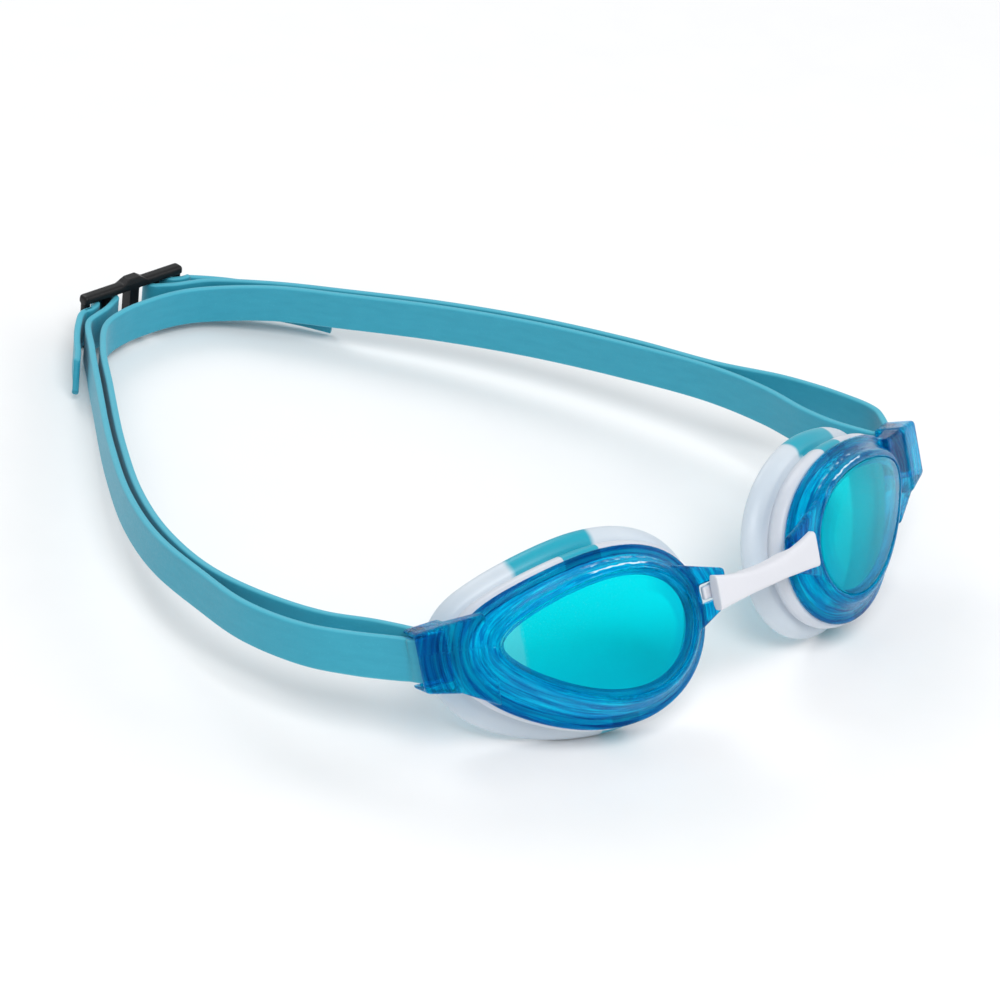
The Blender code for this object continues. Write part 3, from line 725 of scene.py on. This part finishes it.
class Nodes:
    """Small helper that adds and joins shader nodes."""

    def __init__(self, name):
        self.material = bpy.data.materials.new(name)
        self.material.use_nodes = True
        self.tree = self.material.node_tree
        self.shader = self.tree.nodes["Principled BSDF"]

    def add(self, kind, inputs=(), **settings):
        node = self.tree.nodes.new(kind)
        for key, value in settings.items():
            setattr(node, key, value)
        for socket, value in dict(inputs).items():
            self.put(node.inputs[socket], value)
        return node

    def put(self, socket, value):
        if isinstance(value, bpy.types.NodeSocket):
            self.tree.links.new(value, socket)
        else:
            socket.default_value = value

    def math(self, operation, a, b=0.0, clamp=False):
        return self.add("ShaderNodeMath", {0: a, 1: b}, operation=operation, use_clamp=clamp).outputs[0]

    def stored(self, name):
        value = self.add("ShaderNodeAttribute", attribute_name=name).outputs["Vector"]
        return self.add("ShaderNodeSeparateXYZ", {0: value}).outputs

    def object_space(self):
        return self.add("ShaderNodeTexCoord").outputs["Object"]

    def vector(self, x, y, z):
        return self.add("ShaderNodeCombineXYZ", {0: x, 1: y, 2: z}).outputs[0]

    def noise(self, vector, scale, detail=3.0, roughness=0.5):
        inputs = {"Vector": vector, "Scale": scale, "Detail": detail, "Roughness": roughness}
        return self.add("ShaderNodeTexNoise", inputs).outputs["Fac"]

    def span(self, value, low, high, to_low=0.0, to_high=1.0):
        inputs = {"Value": value, "From Min": low, "From Max": high, "To Min": to_low, "To Max": to_high}
        return self.add("ShaderNodeMapRange", inputs, interpolation_type="SMOOTHSTEP").outputs[0]

    def mix(self, factor, a, b):
        node = self.add("ShaderNodeMix", data_type="RGBA")
        self.put(node.inputs[0], factor)
        self.put(node.inputs[6], a)
        self.put(node.inputs[7], b)
        return node.outputs[2]

    def bump(self, height, strength, distance):
        inputs = {"Height": height, "Strength": strength, "Distance": distance}
        self.put(self.shader.inputs["Normal"], self.add("ShaderNodeBump", inputs).outputs[0])

    def set(self, **values):
        for key, value in values.items():
            self.put(self.shader.inputs[key.replace("_", " ")], value)


# turquoise patches of the gasket: extent along the eyepiece in mm, positive towards the temple
BAND_PATCH = (-7.6, 0.6)
LIP_PATCH = (-9.0, 9.5)
LOWER_PATCH = (-9.0, -3.0)
# how fast the frame's streaks change round the outline, outwards and in depth
STREAK_SCALE = (9.0, 1.5, 0.9)
FLOOR_HALF = 4


def rgb(r, g, b):
    return (r, g, b, 1.0)


def clear_blue():
    """Moulded clear blue: long streaks run round the cup between navy, blue and cyan."""
    n = Nodes("clear_blue")
    turn, out, deep = n.stored("rim")
    scaled = [n.math("MULTIPLY", value, by) for value, by in zip((turn, out, deep), STREAK_SCALE)]
    swirl = n.vector(*scaled)
    streak = n.noise(swirl, 1.3, 4.0, 0.62)
    body = n.mix(n.span(streak, 0.34, 0.5), rgb(0.0, 0.16, 0.5), rgb(0.0, 0.45, 0.82))
    body = n.mix(n.span(streak, 0.51, 0.63), body, rgb(0.0, 0.76, 0.95))
    phase = n.math("ADD", n.math("MULTIPLY", out, 4.2), n.math("MULTIPLY", streak, 9.0))
    along, _, _ = n.stored("local")
    # painted light: a lighter cyan stripe across the wing
    painted_light_stripe = n.math("MULTIPLY", n.span(along, 24.6, 25.6), n.span(along, 28.0, 28.6, 0.6, 0.0))
    body = n.mix(painted_light_stripe, body, rgb(0.0, 0.72, 0.92))
    line = n.span(n.math("SINE", phase), 0.55, 0.95, 0.0, 0.75)
    body = n.mix(line, body, rgb(0.0, 0.14, 0.44))
    # painted highlight: thin pale streaks along the upper rim near its outer edge, where they also let less
    # light through
    run = n.noise(n.vector(n.math("MULTIPLY", turn, 34.0), n.math("MULTIPLY", out, 0.9), 0.0), 1.0, 2.0)
    thread = n.math("SINE", n.math("ADD", n.math("MULTIPLY", out, 7.0), n.math("MULTIPLY", run, 8.0)))
    fine = n.math("MULTIPLY", n.span(thread, 0.1, 0.8), n.span(run, 0.42, 0.6))
    upper = n.math("MULTIPLY", n.span(turn, 0.2, 0.24), n.span(turn, 0.33, 0.38, 1.0, 0.0))
    near_edge = n.math("MULTIPLY", n.span(out, 0.3, 0.9), n.span(out, 1.9, 2.6, 1.0, 0.0))
    painted_highlight = n.math("MULTIPLY", fine, n.math("MULTIPLY", upper, near_edge))
    body = n.mix(painted_highlight, body, rgb(0.8, 0.93, 1.0))
    n.set(Base_Color=body, Roughness=0.02, IOR=1.22, Specular_IOR_Level=0.2)
    n.set(Specular_Tint=rgb(0.25, 0.65, 1.0), Transmission_Weight=n.span(painted_highlight, 0.0, 1.0, 0.94, 0.2))
    n.bump(n.math("ADD", streak, n.math("MULTIPLY", line, 0.12)), 0.4, 0.0004)
    return n.material


def clear_cyan():
    """Window plastic: cyan, darker towards the bottom, faintly frosted towards the top and the outer end;
    painted shade darkens a band on the nose side and painted light brightens the outer tip.
    """
    n = Nodes("clear_cyan")
    u, v, _ = n.stored("local")
    _, out, _ = n.stored("rim")
    grain = n.noise(n.object_space(), 2600.0, 2.0, 0.6)
    frost = n.span(n.math("SUBTRACT", v, n.math("MULTIPLY", u, -0.2)), -6.0, 9.0)
    tone = n.mix(n.span(v, -14.0, 2.0), rgb(0.0, 0.6, 0.72), rgb(0.0, 0.82, 0.9))
    speck = n.math("MULTIPLY", n.span(grain, 0.5, 0.72), n.math("MULTIPLY", frost, 0.35))
    tone = n.mix(speck, tone, rgb(0.16, 0.86, 0.92))
    wave = n.math("MULTIPLY", n.math("SUBTRACT", n.noise(n.object_space(), 120.0, 2.0), 0.5), 1.6)
    inward = n.math("ADD", out, wave)
    # painted shade: a darker band along the nose side of the window
    nose = n.math("MULTIPLY", n.span(inward, -4.6, -3.9), n.span(u, -20.0, -13.0, 1.0, 0.0))
    tone = n.mix(n.math("MULTIPLY", nose, 0.6), tone, rgb(0.0, 0.52, 0.7))
    # painted light: a lighter patch at the window's outer tip
    tip = n.span(n.math("ADD", u, wave), 13.6, 14.2, 0.0, 0.45)
    tone = n.mix(tip, tone, rgb(0.2, 0.8, 0.86))
    n.set(Base_Color=tone, IOR=1.2, Transmission_Weight=0.93, Specular_IOR_Level=0.2)
    n.set(Specular_Tint=rgb(0.3, 0.85, 1.0))
    n.set(Roughness=n.span(grain, 0.3, 0.7, 0.03, 0.1))
    n.bump(grain, 0.05, 0.00005)
    return n.material


def silicone_white():
    """Gasket silicone: milky white with turquoise let in along the top and a little below."""
    n = Nodes("silicone_gasket")
    u, v, d = n.stored("local")
    wobble = n.math("MULTIPLY", n.math("SUBTRACT", n.noise(n.object_space(), 260.0, 2.0), 0.5), 1.2)
    at = n.math("ADD", u, wobble)
    top = n.span(v, 2.0, 4.0)
    lip = n.span(d, 10.2, 10.7)

    def between(low, high, soft):
        rise = n.span(at, low - soft, low + soft)
        return n.math("MULTIPLY", rise, n.span(at, high - soft, high + soft, 1.0, 0.0))

    band_patch = n.math("MULTIPLY", between(*BAND_PATCH, 0.12), n.math("SUBTRACT", 1.0, lip))
    lip_patch = n.math("MULTIPLY", between(*LIP_PATCH, 0.8), lip)
    above = n.math("MULTIPLY", top, n.math("ADD", band_patch, lip_patch, True))
    below = n.math("MULTIPLY", n.span(v, -9.0, -8.0, 1.0, 0.0), between(*LOWER_PATCH, 0.3))
    patch = n.math("MAXIMUM", above, n.math("MULTIPLY", below, 0.9))
    cloud = n.noise(n.object_space(), 90.0, 3.0)
    white = n.mix(cloud, rgb(0.52, 0.57, 0.65), rgb(0.7, 0.72, 0.76))
    white = n.mix(n.span(d, 9.6, 10.3, 0.0, 0.2), white, rgb(0.42, 0.62, 0.7))
    n.set(Base_Color=n.mix(patch, white, rgb(0.0, 0.36, 0.48)), Roughness=0.42)
    n.set(Subsurface_Weight=0.35, Subsurface_Scale=0.003, Subsurface_Radius=(1.0, 1.0, 1.0))
    n.set(Coat_Weight=0.15, Coat_Roughness=0.35)
    n.bump(n.noise(n.object_space(), 1500.0, 2.0), 0.08, 0.0001)
    return n.material


def silicone_turquoise():
    """Strap silicone: matt, faintly mottled, with fine lines along the band and pale edges that are a painted
    highlight.
    """
    n = Nodes("silicone_strap")
    along, across, _ = n.stored("band")
    place_on = n.vector(n.math("MULTIPLY", along, 0.06), n.math("MULTIPLY", across, 0.25), 0.0)
    mottle = n.noise(place_on, 3.0, 4.0)
    grain = n.noise(n.object_space(), 1800.0, 3.0, 0.6)
    tone = n.mix(mottle, rgb(0.016, 0.29, 0.41), rgb(0.028, 0.355, 0.485))
    speck = n.span(grain, 0.55, 0.75, 0.0, 0.22)
    tone = n.mix(speck, tone, rgb(0.08, 0.46, 0.58))
    # painted highlight: paler strap edges
    edge = n.span(n.math("ABSOLUTE", across), 3.95, 4.4, 0.0, 0.55)
    tone = n.mix(edge, tone, rgb(0.08, 0.48, 0.61))
    n.set(Base_Color=tone, Roughness=n.span(grain, 0.3, 0.7, 0.5, 0.66))
    n.set(Sheen_Weight=0.12, Sheen_Roughness=0.5)
    n.set(Subsurface_Weight=0.08, Subsurface_Scale=0.0015, Subsurface_Radius=(0.4, 1.0, 1.0))
    lines = n.math("SINE", n.math("MULTIPLY", across, 9.0))
    n.bump(n.math("ADD", n.math("MULTIPLY", lines, 0.12), grain), 0.12, 0.0001)
    return n.material


def bridge_white():
    n = Nodes("matt_white")
    grain = n.noise(n.object_space(), 1600.0, 3.0, 0.6)
    cloud = n.noise(n.object_space(), 70.0, 3.0)
    n.set(Base_Color=n.mix(cloud, rgb(0.66, 0.67, 0.72), rgb(0.74, 0.74, 0.78)))
    n.set(Roughness=n.span(grain, 0.3, 0.7, 0.42, 0.58), Subsurface_Weight=0.12)
    n.set(Subsurface_Scale=0.002, Subsurface_Radius=(1.0, 1.0, 1.0))
    n.bump(grain, 0.1, 0.0001)
    return n.material


def satin_black():
    n = Nodes("satin_black")
    grain = n.noise(n.object_space(), 1400.0, 4.0, 0.65)
    cloud = n.noise(n.object_space(), 120.0, 3.0)
    n.set(Base_Color=n.mix(cloud, rgb(0.003, 0.003, 0.0035), rgb(0.009, 0.009, 0.01)))
    n.set(Roughness=n.span(grain, 0.3, 0.7, 0.3, 0.48), Specular_IOR_Level=0.3)
    n.bump(grain, 0.12, 0.0001)
    return n.material


def floor_pale():
    n = Nodes("floor_pale")
    grain = n.noise(n.object_space(), 60.0, 2.0)
    n.set(Base_Color=n.mix(grain, rgb(0.9, 0.9, 0.905), rgb(0.93, 0.93, 0.93)), Roughness=0.85)
    return n.material


def dress(obj, material, body, nodes):
    obj.data.materials.clear()
    obj.data.materials.append(material)
    if body:
        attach(obj, body)
    if nodes:
        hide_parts(*nodes)


# ---------------------------------------------------------------- scene


def dress_goggles():
    blue = clear_blue()
    cyan = clear_cyan()
    white = silicone_white()
    kinds = ((build_frames, blue, "frame"), (build_windows, cyan, "lens"), (build_gaskets, white, "gasket"))
    for build, material, kind in kinds:
        for side, obj in zip(("left", "right"), build()):
            dress(obj, material, "eyepieces", [side + "_" + kind])
    dress(build_bridge(), bridge_white(), "bridge", ["nose_bridge"])
    dress(build_buckle(), satin_black(), "strap", ["buckle"])


def dress_strap():
    turquoise = silicone_turquoise()
    strap, tails = build_strap()
    nodes = ["strap_inner", "strap_outer_left", "strap_outer_right", "strap_loop_left", "strap_loop_right"]
    dress(strap, turquoise, None, nodes)
    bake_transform(strap)
    for tail, side, name in zip(tails, (-1, 1), ("left", "right")):
        dress(tail, turquoise, None, ["strap_tail_" + name])
        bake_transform(tail)


# camera, matched to the viewing direction: azimuth, elevation and roll in degrees, distance in metres
CAMERA_AZIMUTH = 46.68
CAMERA_ELEVATION = 30.46
CAMERA_ROLL = 6.21
CAMERA_DISTANCE = 0.9
CAMERA_LENS = 147.5
CAMERA_SHIFT = (0.0908, 0.0056)


def build_camera():
    a, e, roll = (math.radians(x) for x in (CAMERA_AZIMUTH, CAMERA_ELEVATION, CAMERA_ROLL))
    back = Vector((-math.sin(a) * math.cos(e), -math.cos(a) * math.cos(e), math.sin(e)))
    right = Vector((math.cos(a), -math.sin(a), 0))
    up = back.cross(right)
    x = right * math.cos(roll) + up * math.sin(roll)
    y = up * math.cos(roll) - right * math.sin(roll)
    camera = bpy.data.objects.new("camera", bpy.data.cameras.new("camera"))
    camera.data.lens = CAMERA_LENS
    camera.data.sensor_width = 36.0
    camera.data.shift_x, camera.data.shift_y = CAMERA_SHIFT
    camera.data.clip_start = 0.05
    turned = Matrix((x, y, back)).transposed().to_4x4()
    camera.matrix_world = Matrix.Translation(back * CAMERA_DISTANCE) @ turned
    bpy.context.scene.collection.objects.link(camera)
    bpy.context.scene.camera = camera


def area_light(name, position, target, size, watts, colour=(1, 1, 1)):
    data = bpy.data.lights.new(name, "AREA")
    data.shape = "DISK"
    data.size = size
    data.energy = watts
    data.color = colour
    lamp = bpy.data.objects.new(name, data)
    lamp.location = position
    lamp.rotation_euler = (Vector(target) - Vector(position)).to_track_quat("-Z", "Y").to_euler()
    bpy.context.scene.collection.objects.link(lamp)


def build_studio():
    corners = [(x * FLOOR_HALF, y * FLOOR_HALF, 0) for x, y in ((-1, -1), (1, -1), (1, 1), (-1, 1))]
    floor = mesh_object("floor", corners, [(0, 1, 2, 3)])
    floor.data.materials.append(floor_pale())
    area_light("key", (-0.5, -0.7, 1.1), (0, -0.03, 0), 0.7, 9.5)
    area_light("fill", (0.9, -0.5, 0.7), (0, 0, 0), 0.8, 2.5)
    area_light("rear", (0.2, 0.9, 0.8), (0, 0.05, 0), 0.6, 3)
    world = bpy.data.worlds.new("studio")
    world.use_nodes = True
    background = world.node_tree.nodes["Background"]
    background.inputs[0].default_value = (0.97, 0.985, 1.0, 1)
    background.inputs[1].default_value = 0.58
    bpy.context.scene.world = world
    bpy.context.scene.view_settings.view_transform = "Standard"


dress_goggles()
dress_strap()
build_studio()
build_camera()
